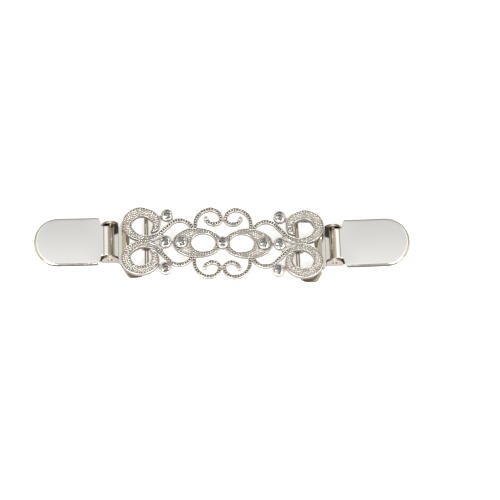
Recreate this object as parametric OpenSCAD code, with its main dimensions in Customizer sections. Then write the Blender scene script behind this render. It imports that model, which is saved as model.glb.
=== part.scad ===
// Sweater clip: a cast filigree bridge set with nine round stones, hung between two flat lever clips.
// It lies on its back on z = 0, +X along its length and +Z to the front. All sizes in millimetres.

/* [Filigree] */
// Height of the filigree across its middle curls
bridge_h = 26; // [22:0.5:30]
// Width of the slim bands
band_w = 1.5; // [1.2:0.05:1.8]
// Thickness of the slim bands, raised edges included
band_t = 1.6; // [1.2:0.1:2.4]
// Greatest width of the fat end scrolls
scroll_w = 3.6; // [2.8:0.1:3.9]
// Height of the fat scrolls above the slim bands
scroll_rise = 0.7; // [0.3:0.1:1.2]
// Width of the raised edge along each band
rail_w = 0.4; // [0.3:0.05:0.5]
// Height of the raised edge over the field that it frames
rail_h = 0.35; // [0.2:0.05:0.5]

/* [Stones] */
// Diameter of each stone at its girdle
stone_d = 3; // [2.4:0.1:3.4]
// Height of a stone's crown above its girdle
crown_h = 0.6; // [0.4:0.05:0.8]
// Wall of the cup round each stone
cup_wall = 0.4; // [0.3:0.05:0.6]
// Space between a stone and its cup
stone_gap = 0.1; // [0.05:0.01:0.15]
// Height of a cup's rim above the slim bands
cup_rise = 0.6; // [0.3:0.1:1]

/* [Hooks and bars] */
// Diameter of the bar that each clip hangs by
bar_d = 1.4; // [1.2:0.1:1.8]
// Running space between a bar and its hook
hook_gap = 0.35; // [0.35:0.05:0.45]
// Wall of each hook
hook_wall = 0.95; // [0.75:0.05:1.35]
// Width of each hook along the bar
hook_w = 3.6; // [3:0.2:4.4]

/* [Clip body] */
// Thickness of the stamped sheet
sheet_t = 0.8; // [0.6:0.05:0.9]
// Distance from the bar to the lever's pivot
pivot_reach = 12.6; // [12.5:0.1:15]
// Radius of each ear round the pivot
ear_r = 2.9; // [2.4:0.1:3]
// Height of the pivot above the surface that the clip lies on
pivot_h = 4.1; // [4.1:0.1:4.6]
// Width of the slotted frame across its two side rails
frame_w = 24.6; // [22:0.2:27]
// Width of each side rail
frame_rail = 2.6; // [2:0.1:3]
// Distance from the bar to the lip at the other side of the slot
slot_reach = 6; // [5.6:0.1:6.4]
// Distance from the pivot to the round end of the tongue under the cover
tongue_reach = 23; // [18:0.5:24]

/* [Lever] */
// Width of the cover
cover_w = 17.3; // [15:0.1:19]
// Distance from the pivot to the tip of the cover
cover_reach = 26.3; // [25.5:0.1:32]
// Length of the cover's rounded end
cover_round = 8.3; // [6:0.1:9]
// Width of the neck between the ears
neck_w = 11.3; // [10:0.1:12.5]
// Running space between the neck and each ear
ear_gap = 0.22; // [0.15:0.01:0.3]
// Free height between the cover and the tongue, where the knitting goes in
jaw_gap = 4.1; // [4:0.1:4.6]
// Diameter of each hinge pin
pin_d = 1.6; // [1.4:0.1:1.8]
// Running space round each pin in its ear
pin_gap = 0.1; // [0.05:0.01:0.1]
// Space left between the lever's toothed edge and the tongue
bite_gap = 0.45; // [0.4:0.05:0.6]
// Number of teeth on the gripping edge
teeth = 9; // [5:1:12]

/* [How the clips lie] */
// Turn of the left clip in its loose hook, in degrees
left_turn = 2.4; // [0:0.2:4]
// Turn of the right clip in its loose hook, in degrees
right_turn = 3.6; // [0:0.2:4]
// Shift of the left clip along its bar
left_shift = 0.5; // [-1:0.1:1]
// Shift of the right clip along its bar
right_shift = -0.4; // [-1:0.1:1]
// Shift of both bars towards +X in the slack of their hooks
bar_shift = -0.25; // [-0.25:0.05:0.25]

/* [Hidden] */

round_fn = 48;
arc_step = 12;
half_h = bridge_h / 2;

// Heights, from the surface upwards
bar_r = bar_d / 2;
bore_r = bar_r + hook_gap;
hook_r = bore_r + hook_wall;
hook_lift = 0.05;
bar_z = hook_r + hook_lift;
hook_bite = 0.2;
back_z = bar_z + hook_r - hook_bite;
band_z = back_z + band_t;
field_z = band_z - rail_h;
scroll_field_z = field_z + scroll_rise;
rim_z = band_z + cup_rise;
stone_sink = 0.15;
girdle_z = rim_z - stone_sink;
pavilion_h = stone_d * 0.3;
cup_floor_z = girdle_z - pavilion_h - stone_gap;

// Plan places, as shares of the filigree's half height
bar_x = 2.008 * half_h;
almond_x = -0.673 * half_h;
almond_a = 0.654 * half_h;
almond_b = 0.415 * half_h;
hole_x = -0.5115 * half_h;
hole_a = 0.315 * half_h;
hole_b = 0.25 * half_h;
cup_r = stone_d / 2 + stone_gap + cup_wall;

// Stone places, as shares of the half height: centre, pointed ovals, scroll joints, corners
STONES = [
    [0, 0],
    [-1.1, 0], [1.1, 0],
    [-1.523, 0], [1.523, 0],
    [-1.496, 0.75], [1.496, 0.75], [-1.496, -0.75], [1.496, -0.75]
];

// A band is a chain of rows. Each row runs straight, then turns (left is positive) in degrees.
// Radius and straight run are shares of the half height, and the width is reached at the row's end.
RADIUS = 0;
TURN = 1;
STRAIGHT = 2;
WIDTH = 3;
slim = band_w;

CURL_START = [-0.738, 0.354, 90];
CURL = [
    [0.408, -90, 0.185, slim],
    [0.269, -90, 0, slim],
    [0.107, -45, 0, slim],
    [0.228, -45, 0, slim],
    [0.212, -75, 0, slim]
];

LIMB_START = [-0.8, 0.3615, 105];
LIMB = [
    [0.358, 120, 0, slim],
    [0.588, -45, 0.376, 0.64 * scroll_w]
];

// The fat scroll goes on from the end of the slim limb
SCROLL = [
    [0.533, -45, 0, 0.8 * scroll_w],
    [0.328, -45, 0, 0.97 * scroll_w],
    [0.331, -45, 0, scroll_w],
    [0.4, -45, 0, 0.94 * scroll_w],
    [0.464, -45, 0, 0.89 * scroll_w],
    [0.259, -45, 0, 0.8 * scroll_w],
    [0.285, -30, 0, 0.66 * scroll_w],
    [0.285, -30, 0, 0.12 * scroll_w]
];

// Short cast ties between a cup and the bands beside it, ends as shares of the half height
TIES = [
    [[-1.938, 0.027], [-1.569, 0.188]],
    [[-1.523, 0], [-1.71, 0.216]],
    [[-1.77, 0.64], [-1.496, 0.75]],
    [[-1.496, 0.75], [-1.4, 0.55]]
];
tie_w = 1.4;
web_l = 3.6;
web_w = 1.4;
web_drop = 0.4;

X = 0;
Y = 1;
HEADING = 2;
HALF = 3;

function ahead(p, run) = [p[X] + run * cos(p[HEADING]), p[Y] + run * sin(p[HEADING]), p[HEADING], p[HALF]];

function turned(p, r, turn, half) =
    let (s = sign(turn), h = p[HEADING], g = h + turn)
    [p[X] + s * r * (sin(g) - sin(h)), p[Y] - s * r * (cos(g) - cos(h)), g, half];

// Points [x, y, heading, half width] along the rows of a chain that starts at p, scaled by unit
function chain(p, rows, unit, i = 0) =
    i == len(rows) ? [] :
    let (
        row = rows[i],
        q = ahead(p, row[STRAIGHT] * unit),
        steps = max(1, ceil(abs(row[TURN]) / arc_step)),
        arc = [for (k = [1:steps])
            turned(q, row[RADIUS] * unit, row[TURN] * k / steps,
                p[HALF] + (row[WIDTH] / 2 - p[HALF]) * k / steps)]
    )
    concat(row[STRAIGHT] > 0 ? [q] : [], arc, chain(arc[steps - 1], rows, unit, i + 1));

function band_path(start, rows) =
    let (p = [start[0] * half_h, start[1] * half_h, start[2], band_w / 2])
    concat([p], chain(p, rows, half_h));

// One side of a path, inset from the band's own edge. side is 1 for the left and -1 for the right.
function edge(path, side, inset) = [for (p = path)
    [p[X] - side * (p[HALF] - inset) * sin(p[HEADING]), p[Y] + side * (p[HALF] - inset) * cos(p[HEADING])]];

function reversed(list) = [for (i = [len(list) - 1:-1:0]) list[i]];

function arc_points(cx, cy, r, from, to) =
    let (n = ceil(abs(to - from) / arc_step))
    [for (k = [0:n]) let (a = from + (to - from) * k / n) [cx + r * cos(a), cy + r * sin(a)]];

function ellipse_points(cx, a, b) = [for (k = [0:59]) [cx + a * cos(6 * k), b * sin(6 * k)]];

function last(list) = list[len(list) - 1];

curl_path = band_path(CURL_START, CURL);
limb_path = band_path(LIMB_START, LIMB);
scroll_path = concat([last(limb_path)], chain(last(limb_path), SCROLL, half_h));
limb_and_scroll = concat(limb_path, chain(last(limb_path), SCROLL, half_h));
field_margin = 0.03;
rail_margin = 0.06;
rail_end = 0.25;

// A path whose first point moves on by a and whose last point moves on by b
function shifted(path, a, b) =
    let (n = len(path) - 1)
    concat([ahead(path[0], a)], [for (i = [1:n - 1]) path[i]], [ahead(path[n], b)]);

module band_2d(path, inset = 0) {
    polygon(concat(edge(path, 1, inset), reversed(edge(path, -1, inset))));
}

module rails_2d(path) {
    wide = [for (p = path) if (p[HALF] > rail_w + 3 * rail_margin) p];
    for (side = [1, -1])
        polygon(concat(edge(wide, side, rail_margin), reversed(edge(wide, side, rail_margin + rail_w))));
}

module four_ways() {
    for (flip_x = [0, 1], flip_y = [0, 1])
        mirror([flip_x, 0])
            mirror([0, flip_y])
                children();
}

module tie_2d(ends) {
    a = ends[0] * half_h;
    b = ends[1] * half_h;
    n = [a[1] - b[1], b[0] - a[0]] / norm(b - a) * tie_w / 2;
    polygon([a + n, b + n, b - n, a - n]);
}

module filigree_plan() {
    four_ways() {
        band_2d(curl_path);
        translate([last(curl_path)[X], last(curl_path)[Y]])
            circle(r = band_w * 0.55, $fn = round_fn);
        band_2d(limb_and_scroll);
        for (t = TIES)
            tie_2d(t);
    }
    for (flip_x = [0, 1])
        mirror([flip_x, 0])
            difference() {
                polygon(ellipse_points(almond_x, almond_a, almond_b));
                polygon(ellipse_points(hole_x, hole_a, hole_b));
            }
}

module slim_rails() {
    inset = rail_margin;
    four_ways() {
        rails_2d(shifted(curl_path, rail_end, -rail_end));
        rails_2d(shifted(limb_path, rail_end, rail_end));
    }
    for (flip_x = [0, 1])
        mirror([flip_x, 0]) {
            difference() {
                polygon(ellipse_points(almond_x, almond_a - inset, almond_b - inset));
                polygon(ellipse_points(almond_x, almond_a - inset - rail_w, almond_b - inset - rail_w));
            }
            difference() {
                polygon(ellipse_points(hole_x, hole_a + inset + rail_w, hole_b + inset + rail_w));
                polygon(ellipse_points(hole_x, hole_a + inset, hole_b + inset));
            }
        }
}

// A cast hook that closes round the bar, with a slit where its prong was bent shut
module hook() {
    slit = 0.3;
    translate([0, 0, bar_z]) {
        difference() {
            union() {
                rotate([90, 0, 0])
                    cylinder(r = hook_r, h = hook_w, center = true, $fn = round_fn);
                translate([-hook_r * 0.7, -hook_w / 2, bore_r * 0.9])
                    cube([hook_r * 1.4, hook_w, back_z - bar_z - bore_r * 0.9 + hook_bite]);
            }
            rotate([90, 0, 0])
                cylinder(r = bore_r, h = hook_w + 1, center = true, $fn = round_fn);
            translate([0, -hook_w, bore_r * 0.55])
                cube([hook_r + 1, 2 * hook_w, slit]);
        }
    }
}

module filigree() {
    sink = 0.1;
    color("#DAD6D2")
    difference() {
        union() {
            translate([0, 0, back_z])
                linear_extrude(field_z - back_z)
                    filigree_plan();
            translate([0, 0, field_z - sink])
                linear_extrude(rail_h + sink)
                    slim_rails();
            translate([0, 0, field_z - sink])
                linear_extrude(scroll_rise + sink)
                    four_ways() band_2d(scroll_path, field_margin);
            translate([0, 0, scroll_field_z - sink])
                linear_extrude(rail_h + sink)
                    four_ways() rails_2d(shifted(scroll_path, rail_end, 0));
            for (s = STONES)
                translate([s[X] * half_h, s[Y] * half_h, back_z + sink])
                    cylinder(r = cup_r, h = rim_z - back_z - sink, $fn = round_fn);
            for (flip_x = [0, 1])
                mirror([flip_x, 0]) {
                    translate([-bar_x - web_l / 2, -web_w / 2, back_z + sink])
                        cube([web_l, web_w, band_t - web_drop - sink]);
                    translate([-bar_x, 0])
                        hook();
                }
        }
        for (s = STONES)
            translate([s[X] * half_h, s[Y] * half_h, cup_floor_z])
                cylinder(r = stone_d / 2 + stone_gap, h = rim_z, $fn = round_fn);
    }
}

// A round cut stone: table, eight star facets and eight main facets above the girdle, a cone of facets below
module stone(i) {
    place = STONES[i - 1] * half_h;
    r = stone_d / 2;
    thin = 0.01;
    color("#E9EEF2")
    translate([place[X], place[Y], girdle_z])
        hull() {
            translate([0, 0, crown_h - thin])
                cylinder(r = r * 0.55, h = thin, $fn = 8);
            translate([0, 0, crown_h * 0.6])
                rotate([0, 0, 22.5])
                    cylinder(r = r * 0.82, h = thin, $fn = 8);
            cylinder(r = r, h = thin, $fn = 16);
            translate([0, 0, -pavilion_h])
                rotate([0, 0, 22.5])
                    cylinder(r = r * 0.2, h = thin, $fn = 8);
        }
}

// Clip sizes, worked out from the bar (u = 0) outwards
body_w = neck_w + 2 * ear_gap + 2 * sheet_t;
cover_z = 2 * sheet_t + jaw_gap;
root_run = 2.5;
frame_root = slot_reach + root_run;
frame_tilt = atan2(bar_z - sheet_t / 2, frame_root);
frame_run = frame_root / cos(frame_tilt);
strip = bar_r / 2;
fold_r = 0.9;
lip_inner_r = 0.15;
lip_r = sheet_t + lip_inner_r;
lip_drop = 0.12;
lip_u = frame_run - slot_reach / cos(frame_tilt) - lip_r;
lip_side = 0.25;
lip_w = neck_w + 2 * lip_side;
slot_side = 0.3;
flare = 121;
flare_out = 1.7;
flare_start = body_w / 2 + flare_out;
outer_bend = 2;
outer_corner = 3.4;
inner_bend = 1;
inner_corner = 1.2;
rail_in = frame_w / 2 - frame_rail;
bar_bite = 0.4;
ear_from = pivot_reach - ear_r;
ear_to = pivot_reach + ear_r;
ear_slope = 1.6;

// Half outline of a frame edge: out from [u, v] along the flare, level at v_far, then round into the bar
function frame_half(u, v, v_far, bend, u_far, corner) =
    let (
        run = (v_far - v - bend * (1 + cos(flare))) / sin(flare),
        a = [u, v, flare, 0],
        b = ahead(a, run),
        level = b[X] + bend * (0 - sin(flare)) - (u_far + corner),
        pts = concat([a], chain(a, [
            [bend, 180 - flare, run, 0],
            [corner, 90, max(0.05, level), 0]
        ], 1))
    )
    [for (p = pts) [p[X], p[Y]]];

function both_sides(half) = concat(half, reversed([for (p = half) [p[X], -p[Y]]]));

module frame() {
    translate([frame_root, 0, 0])
        rotate([0, frame_tilt, 0]) {
            linear_extrude(sheet_t)
                difference() {
                    polygon(both_sides(frame_half(0, flare_start, frame_w / 2, outer_bend,
                        -frame_run - strip, outer_corner)));
                    polygon(both_sides(frame_half(-lip_u, lip_w / 2 + slot_side, rail_in, inner_bend,
                        -frame_run + strip, inner_corner)));
                }
            // The slot's far edge is rolled down into a lip
            translate([-lip_u, lip_w / 2, sheet_t - lip_r])
                rotate([90, 0, 0])
                    linear_extrude(lip_w)
                        polygon(concat(
                            [[0.1, lip_r]],
                            arc_points(0, 0, lip_r, 90, 180),
                            [[-lip_r, -lip_drop], [-lip_r + sheet_t, -lip_drop]],
                            reversed(arc_points(0, 0, lip_r - sheet_t, 90, 180)),
                            [[0.1, lip_r - sheet_t]]
                        ));
        }
    translate([0, 0, bar_z])
        rotate([90, 0, 0])
            cylinder(r = bar_r, h = 2 * (rail_in + bar_bite), center = true, $fn = round_fn);
}

// Side outline of an ear: round behind the pivot, sloping further down in front of it
function ear_outline() = concat(
    [[ear_to, -1]],
    [for (a = [0:arc_step / 2:84])
        [pivot_reach + ear_r * cos(a), pivot_h - ear_slope + (ear_r + ear_slope) * sin(a)]],
    arc_points(pivot_reach, pivot_h, ear_r, 90, 180),
    [[ear_from, -1]]
);

// Cross-section of the ears and the floor between them, folded from one sheet
function fold_section() =
    let (w = body_w / 2, top = pivot_h + ear_r + 1, t = sheet_t, half = concat(
        [[w, top]],
        reversed(arc_points(w - fold_r, fold_r, fold_r, -90, 0))
    ))
    concat(half, reversed([for (p = half) [-p[X], p[Y]]]), [[-w + t, top], [-w + t, t], [w - t, t], [w - t, top]]);

module ears() {
    difference() {
        intersection() {
            translate([ear_from - 0.5, 0, 0])
                rotate([90, 0, 90])
                    linear_extrude(2 * ear_r + 1)
                        polygon(fold_section());
            translate([0, body_w, 0])
                rotate([90, 0, 0])
                    linear_extrude(2 * body_w)
                        polygon(ear_outline());
        }
        translate([pivot_reach, 0, pivot_h])
            rotate([90, 0, 0])
                cylinder(r = pin_d / 2 + pin_gap, h = 2 * body_w, center = true, $fn = round_fn);
    }
}

module clip_body() {
    seam = 0.1;
    floor_w = body_w - 2 * fold_r + 2 * seam;
    tongue_side = 0.2;
    tongue_w = neck_w - 2 * tongue_side;
    tongue_u = pivot_reach + tongue_reach - tongue_w / 2;
    root_half = [[frame_root - 0.1, flare_start], [frame_root + 0.9, body_w / 2], [ear_from + 0.1, body_w / 2]];
    frame();
    ears();
    linear_extrude(sheet_t) {
        polygon(both_sides(root_half));
        polygon(both_sides([[frame_root, floor_w / 2], [ear_to + 0.6, floor_w / 2], [ear_to + 0.9, tongue_w / 2],
            [tongue_u, tongue_w / 2]]));
        polygon(concat([[tongue_u - 1, -tongue_w / 2]], arc_points(tongue_u, 0, tongue_w / 2, -90, 90),
            [[tongue_u - 1, tongue_w / 2]]));
    }
}

// Lever sizes, in the same frame as the clip body
curl_r = 3;
curl_lead = 1.6;
curl_u = pivot_reach + curl_lead;
curl_z = cover_z - curl_r;
bite_z = sheet_t + bite_gap;
cheek_run = 0.9;
// The neck widens only where the cover swings clear of the ears
swing_gap = 0.06;
swing_r = ear_r + swing_gap;
neck_back = 0.1;
neck_u = pivot_reach + sqrt(pow(swing_r, 2) - pow(cover_z - sheet_t - pivot_h, 2)) - neck_back;
shoulder_run = 1.3;
shoulder_u = neck_u + shoulder_run;

module cover_plan() {
    w = cover_w / 2;
    tip = pivot_reach + cover_reach;
    end = [for (k = [0:15]) let (a = 90 - 12 * k)
        [tip - cover_round + cover_round * cos(a), w * sin(a)]];
    polygon(concat([[curl_u, -neck_w / 2], [curl_u, neck_w / 2], [neck_u, neck_w / 2], [shoulder_u, w]], end,
        [[shoulder_u, -w], [neck_u, -neck_w / 2]]));
}

function curl_section() = concat(
    [[curl_u + 0.2, cover_z]],
    arc_points(curl_u, curl_z, curl_r, 90, 180),
    [[curl_u - curl_r, bite_z], [curl_u - curl_r + sheet_t, bite_z]],
    reversed(arc_points(curl_u, curl_z, curl_r - sheet_t, 90, 180)),
    [[curl_u + 0.2, cover_z - sheet_t]]
);

function cheek_section() =
    let (r = curl_r - sheet_t / 2)
    concat(arc_points(curl_u, curl_z, r, 90, 180), [[curl_u + cheek_run, curl_z], [curl_u + cheek_run, curl_z + r]]);

module pin() {
    dome_r = pin_d * 0.75;
    proud = 0.7;
    reach = sheet_t + ear_gap + proud;
    intersection() {
        cylinder(r = pin_d / 2, h = sheet_t / 2 + reach, $fn = round_fn);
        translate([0, 0, sheet_t / 2 + reach - dome_r])
            union() {
                sphere(r = dome_r, $fn = round_fn);
                translate([0, 0, -2 * dome_r])
                    cylinder(r = pin_d, h = 2 * dome_r, $fn = round_fn);
            }
    }
}

module lever() {
    notch_pitch = neck_w / teeth;
    notch_h = 0.5;
    difference() {
        union() {
            translate([0, 0, cover_z - sheet_t])
                linear_extrude(sheet_t)
                    cover_plan();
            translate([0, neck_w / 2, 0])
                rotate([90, 0, 0])
                    linear_extrude(neck_w)
                        polygon(curl_section());
            for (side = [-1, 1])
                translate([0, side * (neck_w / 2 - sheet_t / 2) + sheet_t / 2, 0])
                    rotate([90, 0, 0])
                        linear_extrude(sheet_t)
                            polygon(cheek_section());
        }
        for (k = [1:teeth - 1])
            translate([curl_u - curl_r - 1, (k - teeth / 2) * notch_pitch, bite_z])
                rotate([90, 0, 90])
                    linear_extrude(sheet_t + 2)
                        polygon([[-notch_pitch * 0.45, -0.1], [notch_pitch * 0.45, -0.1], [0, notch_h]]);
    }
    for (side = [0, 1])
        mirror([0, side, 0])
            translate([pivot_reach, neck_w / 2 - sheet_t / 2, pivot_h])
                rotate([-90, 0, 0])
                    pin();
}

module at_left() {
    translate([-bar_x + bar_shift, left_shift, 0])
        rotate([0, 0, left_turn])
            mirror([1, 0, 0])
                children();
}

module at_right() {
    translate([bar_x + bar_shift, right_shift, 0])
        rotate([0, 0, right_turn])
            children();
}

module left_clip() {
    color("#C9C4BC")
        at_left() clip_body();
}

module right_clip() {
    color("#C9C4BC")
        at_right() clip_body();
}

module left_lever() {
    color("#E0DEDC")
        at_left() lever();
}

module right_lever() {
    color("#E0DEDC")
        at_right() lever();
}

filigree();
stone(1);  // stone_1
stone(2);  // stone_2
stone(3);  // stone_3
stone(4);  // stone_4
stone(5);  // stone_5
stone(6);  // stone_6
stone(7);  // stone_7
stone(8);  // stone_8
stone(9);  // stone_9
left_clip();
right_clip();
left_lever();
right_lever();
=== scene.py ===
import math
import random

import bmesh
import bpy
from mathutils import Matrix, Vector


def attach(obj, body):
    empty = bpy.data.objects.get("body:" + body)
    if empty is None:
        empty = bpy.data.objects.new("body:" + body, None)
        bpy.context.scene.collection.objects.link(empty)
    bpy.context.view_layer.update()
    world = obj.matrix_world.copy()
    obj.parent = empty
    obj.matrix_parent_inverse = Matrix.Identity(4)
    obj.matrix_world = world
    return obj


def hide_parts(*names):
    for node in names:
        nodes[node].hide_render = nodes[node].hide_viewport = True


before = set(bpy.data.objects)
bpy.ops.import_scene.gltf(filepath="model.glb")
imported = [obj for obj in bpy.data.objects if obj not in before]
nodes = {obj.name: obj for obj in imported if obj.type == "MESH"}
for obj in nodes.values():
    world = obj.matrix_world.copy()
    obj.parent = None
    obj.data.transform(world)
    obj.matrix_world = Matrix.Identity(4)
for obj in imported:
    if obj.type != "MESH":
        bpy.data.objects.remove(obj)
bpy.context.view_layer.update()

# Sizes are in millimetres. The frame is in metres
MM = 0.001


def linear(code):
    """A '#rrggbb' sRGB colour as linear red, green, blue and alpha."""
    parts = [int(code[i:i + 2], 16) / 255 for i in (1, 3, 5)]
    return [c / 12.92 if c <= 0.04045 else ((c + 0.055) / 1.055) ** 2.4 for c in parts] + [1]


def add(tree, kind, sockets=None, **settings):
    """Adds a node with its settings. A socket takes a value, or another node's output to link to."""
    made = tree.nodes.new(kind)
    for key, value in settings.items():
        setattr(made, key, value)
    for key, value in (sockets or {}).items():
        if isinstance(value, bpy.types.NodeSocket):
            tree.links.new(value, made.inputs[key])
        else:
            made.inputs[key].default_value = value
    return made


def new_object(name, data):
    """An object with its mesh, lamp or camera, linked to the scene."""
    thing = bpy.data.objects.new(name, data)
    bpy.context.scene.collection.objects.link(thing)
    return thing


# ---- Camera: 70 degrees up, from the front, through a long lens ----

ELEVATION = math.radians(70)
AZIMUTH = math.radians(-1.1)
LOOK_AT = Vector((9.5, -2.6, 5.5)) * MM
DISTANCE = 1.5
LENS, SENSOR = 313.2, 36

back = Vector((-math.sin(AZIMUTH) * math.cos(ELEVATION), -math.cos(AZIMUTH) * math.cos(ELEVATION),
               math.sin(ELEVATION)))
right = Vector((math.cos(AZIMUTH), -math.sin(AZIMUTH), 0))
up = back.cross(right)
camera = new_object("camera", bpy.data.cameras.new("camera"))
camera.matrix_world = Matrix.Translation(LOOK_AT + DISTANCE * back) @ Matrix((right, up, back)).transposed().to_4x4()
camera.data.sensor_width = SENSOR
camera.data.lens = LENS
camera.data.clip_start = 0.1
camera.data.clip_end = 20
bpy.context.scene.camera = camera


# ---- Materials ----

def new_material(name):
    """An empty node material, and its node tree."""
    made = bpy.data.materials.new(name)
    made.use_nodes = True
    made.node_tree.nodes.clear()
    return made, made.node_tree


def metal(name, bright, side, recess, roughness, satin, patch_mm, spread, dents_mm, recess_mm, open_from, open_to,
          side_from, side_to):
    """Plated metal, with shade painted into its colour: the side colour on its upright faces and the recess colour in
    its hollows are painted shade, standing in for the shade and dark reflections there. It is glossy where the
    polishing mop reached and satin down its sides.

    patch_mm is the size of the patches where the polish differs, dents_mm their depth. A spot is a recess, painted dark
    as shade, where less than open_from of its surroundings within recess_mm is open, and is clear of it from open_to.
    The sides, painted darker as shade, are where the upright part of the surface's normal is under side_from, and the
    mop reached it from side_to.
    """
    made, tree = new_material(name)
    place = add(tree, "ShaderNodeTexCoord").outputs["Object"]
    patches = add(tree, "ShaderNodeTexNoise", {"Vector": place, "Scale": 1 / (patch_mm * MM), "Detail": 4,
                                               "Roughness": 0.6})
    sheltered = add(tree, "ShaderNodeAmbientOcclusion", {"Distance": recess_mm * MM}, samples=8)
    # Painted shade: darker colour in the recesses, where the surroundings are closed in
    depth = add(tree, "ShaderNodeMapRange", {"Value": sheltered.outputs["AO"], "From Min": open_from,
                                             "From Max": open_to})
    facing = add(tree, "ShaderNodeSeparateXYZ", {0: add(tree, "ShaderNodeNewGeometry").outputs["Normal"]})
    # Painted shade down the upright sides, and the polish where the mop reached, both follow how far the surface faces
    # up
    mopped_and_unshaded = add(tree, "ShaderNodeMapRange", {"Value": facing.outputs["Z"], "From Min": side_from,
                                              "From Max": side_to})
    outside = add(tree, "ShaderNodeMix", {"Factor": mopped_and_unshaded.outputs["Result"], 6: linear(side), 7: linear(bright)},
                  data_type="RGBA")
    tone = add(tree, "ShaderNodeMix", {"Factor": depth.outputs["Result"], 6: linear(recess), 7: outside.outputs[2]},
               data_type="RGBA")
    buffed = add(tree, "ShaderNodeMapRange", {"Value": mopped_and_unshaded.outputs["Result"], "To Min": satin, "To Max": roughness})
    patchy = add(tree, "ShaderNodeMapRange", {"Value": patches.outputs["Fac"], "From Min": 0.3, "From Max": 0.7,
                                              "To Min": -spread, "To Max": spread})
    polish = add(tree, "ShaderNodeMath", {0: buffed.outputs["Result"], 1: patchy.outputs["Result"]}, operation="ADD",
                 use_clamp=True)
    bump = add(tree, "ShaderNodeBump", {"Height": patches.outputs["Fac"], "Distance": dents_mm * MM, "Strength": 0.5})
    surface = add(tree, "ShaderNodeBsdfPrincipled", {"Base Color": tone.outputs[2],
                                                     "Roughness": polish.outputs[0],
                                                     "Normal": bump.outputs["Normal"], "Metallic": 1.0})
    add(tree, "ShaderNodeOutputMaterial", {"Surface": surface.outputs[0]})
    return made


# How the mop left each kind of metal: its patches, and what counts as a recess that is painted dark as shade
CASTING = dict(patch_mm=0.35, spread=0.08, dents_mm=0.02, recess_mm=0.5, open_from=0.35, open_to=0.82)
STAMPING = dict(recess_mm=1.0, open_from=0.2, open_to=0.6)

# Bright silver plating over a sand-textured zinc casting: pale high edges, with painted shade in dark grey down its
# sides and in its recesses
cast_silver = metal("bright_plated_zinc_casting", "#F6F3EF", "#8C847A", "#2C2722", roughness=0.28, satin=0.45,
                    side_from=0.0, side_to=0.4, **CASTING)
# The floors of the slim bands, between the beads: painted shade, dark, that reads as a row of dots
dark_silver = metal("painted_shade_floor_of_zinc_casting", "#6C655D", "#4A443D", "#2C2722", roughness=0.4, satin=0.5,
                    side_from=0.05, side_to=0.55, **CASTING)
# The grained fields: painted shade in pale grey between the grains, lighter than between the beads
grey_silver = metal("grey_painted_shade_field_of_zinc_casting", "#BEB8B0", "#6E675F", "#5E5750", roughness=0.4, satin=0.5,
                    side_from=0.05, side_to=0.55, **CASTING)
# Rolled strip, nickel plated and tumbled: a slightly warm mirror, a little hazy on the flats, with painted shade in a
# darker colour down its sides and in its recesses
strip_nickel = metal("tumbled_nickel_plated_strip", "#EFEBE2", "#9C928A", "#362F28", roughness=0.12, satin=0.14,
                     patch_mm=1.5, spread=0.04, dents_mm=0.004, side_from=0.05, side_to=0.5, **STAMPING)
# The same strip where it was sheared: a torn, dull edge under thin plating, and painted shade as well, so that it is
# darker than the plain strip
sheared_and_shaded_nickel = metal("sheared_edge_of_nickel_strip_with_painted_shade", "#B0A698", "#3E372F", "#2C2620", roughness=0.3,
                       satin=0.5, patch_mm=0.2, spread=0.08, dents_mm=0.02, side_from=0.1, side_to=0.7, **STAMPING)
# Pressed cover, polished after plating: a clear mirror with faint long waves, satin along the sheared edge, with
# painted shade in a darker colour down its sides and in its recesses
cover_nickel = metal("polished_nickel_plated_cover", "#F4F3F1", "#B4A892", "#4A4239", roughness=0.12, satin=0.4,
                     patch_mm=6, spread=0.03, dents_mm=0.01, side_from=0.3, side_to=0.93, **STAMPING)


def clear_glass():
    """Lead-free crystal glass, cut and fire polished: clear, with sharp facet edges."""
    made, tree = new_material("cut_crystal_glass")
    place = add(tree, "ShaderNodeTexCoord").outputs["Object"]
    polish = add(tree, "ShaderNodeTexNoise", {"Vector": place, "Scale": 1 / (0.5 * MM), "Detail": 2})
    haze = add(tree, "ShaderNodeMapRange", {"Value": polish.outputs["Fac"], "To Min": 0.0, "To Max": 0.03})
    surface = add(tree, "ShaderNodeBsdfPrincipled", {"Base Color": linear("#FDFDFD"), "Transmission Weight": 1.0,
                                                     "IOR": 1.56, "Roughness": haze.outputs["Result"]})
    add(tree, "ShaderNodeOutputMaterial", {"Surface": surface.outputs[0]})
    return made


def mirror_foil():
    """Silver foil painted on the back of the stone: a mirror that each facet holds at its own angle."""
    made, tree = new_material("silver_mirror_foil")
    place = add(tree, "ShaderNodeTexCoord").outputs["Object"]
    brush = add(tree, "ShaderNodeTexNoise", {"Vector": place, "Scale": 1 / (0.3 * MM), "Detail": 2})
    haze = add(tree, "ShaderNodeMapRange", {"Value": brush.outputs["Fac"], "To Min": 0.02, "To Max": 0.1})
    surface = add(tree, "ShaderNodeBsdfPrincipled", {"Base Color": linear("#C4C3C1"), "Metallic": 1.0,
                                                     "Roughness": haze.outputs["Result"]})
    add(tree, "ShaderNodeOutputMaterial", {"Surface": surface.outputs[0]})
    return made


crystal = clear_glass()
foil = mirror_foil()


# ---- Making meshes ----

def shell(points, faces):
    """An object with a closed mesh, points in millimetres, its faces turned outwards."""
    mesh = bpy.data.meshes.new("shell")
    mesh.from_pydata([Vector(p) * MM for p in points], [], faces)
    made = bmesh.new()
    made.from_mesh(mesh)
    bmesh.ops.recalc_face_normals(made, faces=made.faces)
    made.to_mesh(mesh)
    made.free()
    return new_object("shell", mesh)


def settled(thing):
    """Applies the object's modifiers to its mesh."""
    bpy.context.view_layer.update()
    seen = thing.evaluated_get(bpy.context.evaluated_depsgraph_get())
    mesh = bpy.data.meshes.new_from_object(seen)
    thing.modifiers.clear()
    old = thing.data
    thing.data = mesh
    bpy.data.meshes.remove(old)
    return thing


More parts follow.
